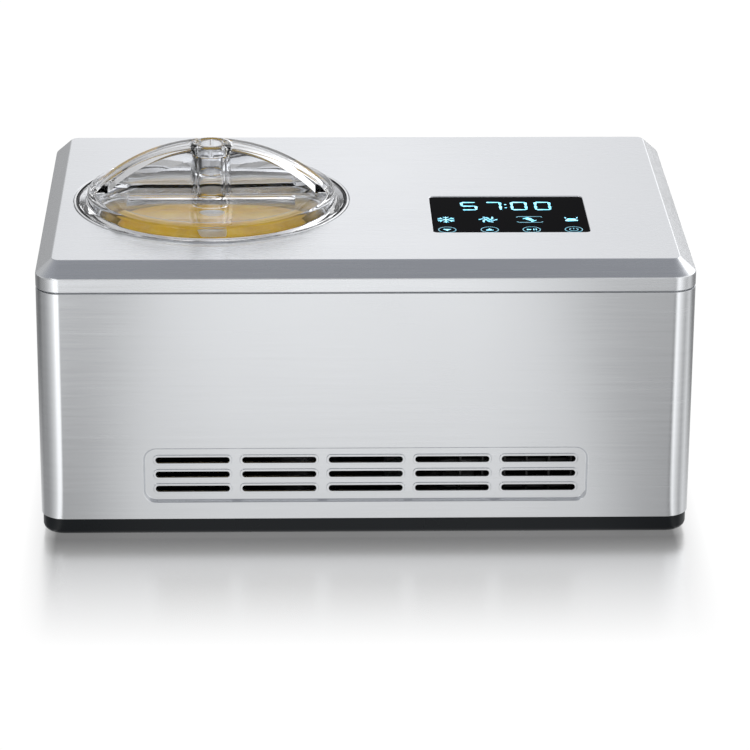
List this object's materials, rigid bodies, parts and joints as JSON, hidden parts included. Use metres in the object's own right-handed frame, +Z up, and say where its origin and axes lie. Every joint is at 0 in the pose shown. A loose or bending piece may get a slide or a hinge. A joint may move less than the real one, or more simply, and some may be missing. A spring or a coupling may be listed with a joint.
{
  "type": "ice cream maker",
  "caption": "Table-top compressor ice cream maker: steel housing, freezing well, lift-out bowl and paddle, clear turning lid with a filler stopper, touch display.",
  "frame": {"origin": "middle of the underside, on the table that the feet stand on", "axes": "+X to the right of someone facing the grille, along the long side; +Y to the back; +Z up"},
  "size_m": [0.425, 0.285, 0.229],
  "materials": {
    "steel": "brushed stainless steel with a fine level grain",
    "zinc": "zinc-plated steel",
    "black_plastic": "satin black moulding",
    "rubber": "matt black rubber",
    "black_glass": "black-backed polished glass",
    "clear_plastic": "clear polished moulding",
    "copper": "drawn copper tube",
    "alloy": "plain aluminium",
    "foam": "rigid foam",
    "white_acetal": "smooth white acetal",
    "circuit_board": "green board with its parts",
    "black_paint": "gloss black enamel",
    "frozen_cream": "soft frozen mango cream",
    "silicone": "grey silicone"
  },
  "bodies": {
    "housing": {"base_screw_1": "zinc", "base_screw_2": "zinc", "base_screw_3": "zinc", "base_screw_4": "zinc", "base_tray": "black_plastic", "board_bracket": "zinc", "capillary": "copper", "collar_gasket": "rubber", "compressor_plate": "zinc", "compressor_shell": "black_paint", "condenser_fins": "alloy", "condenser_tube": "black_paint", "cord_gland": "rubber", "discharge_line": "copper", "display_frame": "black_plastic", "display_window": "black_glass", "evaporator_coil": "copper", "fan_frame": "black_plastic", "filter_drier": "copper", "foot_1": "rubber", "foot_2": "rubber", "foot_3": "rubber", "foot_4": "rubber", "freezer_well": "alloy", "gear_axle": "zinc", "gearbox_cover": "alloy", "gearbox_housing": "alloy", "grommet_1": "rubber", "grommet_2": "rubber", "grommet_3": "rubber", "grommet_4": "rubber", "housing_wrap": "steel", "insulation_shell": "foam", "motor_can": "zinc", "power_board": "circuit_board", "rear_panel": "steel", "rear_screw_1": "zinc", "rear_screw_2": "zinc", "rear_screw_3": "zinc", "rear_screw_4": "zinc", "shaft_seal": "rubber", "spindle_bearing": "alloy", "suction_line": "copper", "top_cover": "steel", "touch_board": "circuit_board", "well_collar": "steel"},
    "bowl": {"bowl": "steel"},
    "dasher": {"paddle": "white_acetal", "ice_cream": "frozen_cream"},
    "seal_ring": {"lid_seal": "silicone"},
    "lid": {"lid": "clear_plastic"},
    "stopper": {"filler_stopper": "clear_plastic"},
    "drive_shaft": {"spindle": "zinc", "output_gear": "white_acetal"},
    "idler": {"intermediate_gear": "white_acetal"},
    "motor_rotor": {"motor_pinion": "zinc"},
    "fan": {"fan_rotor": "black_plastic"}
  },
  "joints": [
    {"name": "bowl_lift", "type": "slide", "parent": "housing", "child": "bowl", "axis": [0, 0, 1], "range_m": [0, 0.2]},
    {"name": "lid_lift", "type": "slide", "parent": "bowl", "child": "seal_ring", "axis": [0, 0, 1], "range_m": [0, 0.15]},
    {"name": "lid_turn", "type": "hinge", "parent": "seal_ring", "child": "lid", "pos_m": [-0.1011, -0.007, 0.19], "axis": [0, 0, 1], "range_deg": [-30, 0]},
    {"name": "stopper_lift", "type": "slide", "parent": "lid", "child": "stopper", "axis": [0, 0, 1], "range_m": [0, 0.06]},
    {"name": "paddle_spin", "type": "hinge", "parent": "bowl", "child": "dasher", "pos_m": [-0.1011, -0.007, 0.1], "axis": [0, 0, 1], "continuous": true},
    {"name": "spindle_spin", "type": "hinge", "parent": "housing", "child": "drive_shaft", "pos_m": [-0.1011, -0.007, 0.043], "axis": [0, 0, 1], "continuous": true},
    {"name": "idler_spin", "type": "hinge", "parent": "housing", "child": "idler", "pos_m": [-0.0711, -0.007, 0.04], "axis": [0, 0, 1], "continuous": true},
    {"name": "motor_spin", "type": "hinge", "parent": "housing", "child": "motor_rotor", "pos_m": [-0.0461, -0.007, 0.03], "axis": [0, 0, 1], "continuous": true},
    {"name": "fan_spin", "type": "hinge", "parent": "housing", "child": "fan", "pos_m": [0.1207, -0.08, 0.054], "axis": [0, 1, 0], "continuous": true}
  ],
  "couplings": [
    {"joint": "spindle_spin", "follows": "paddle_spin", "ratio": 1},
    {"joint": "idler_spin", "follows": "paddle_spin", "ratio": -5},
    {"joint": "motor_spin", "follows": "paddle_spin", "ratio": 20}
  ]
}
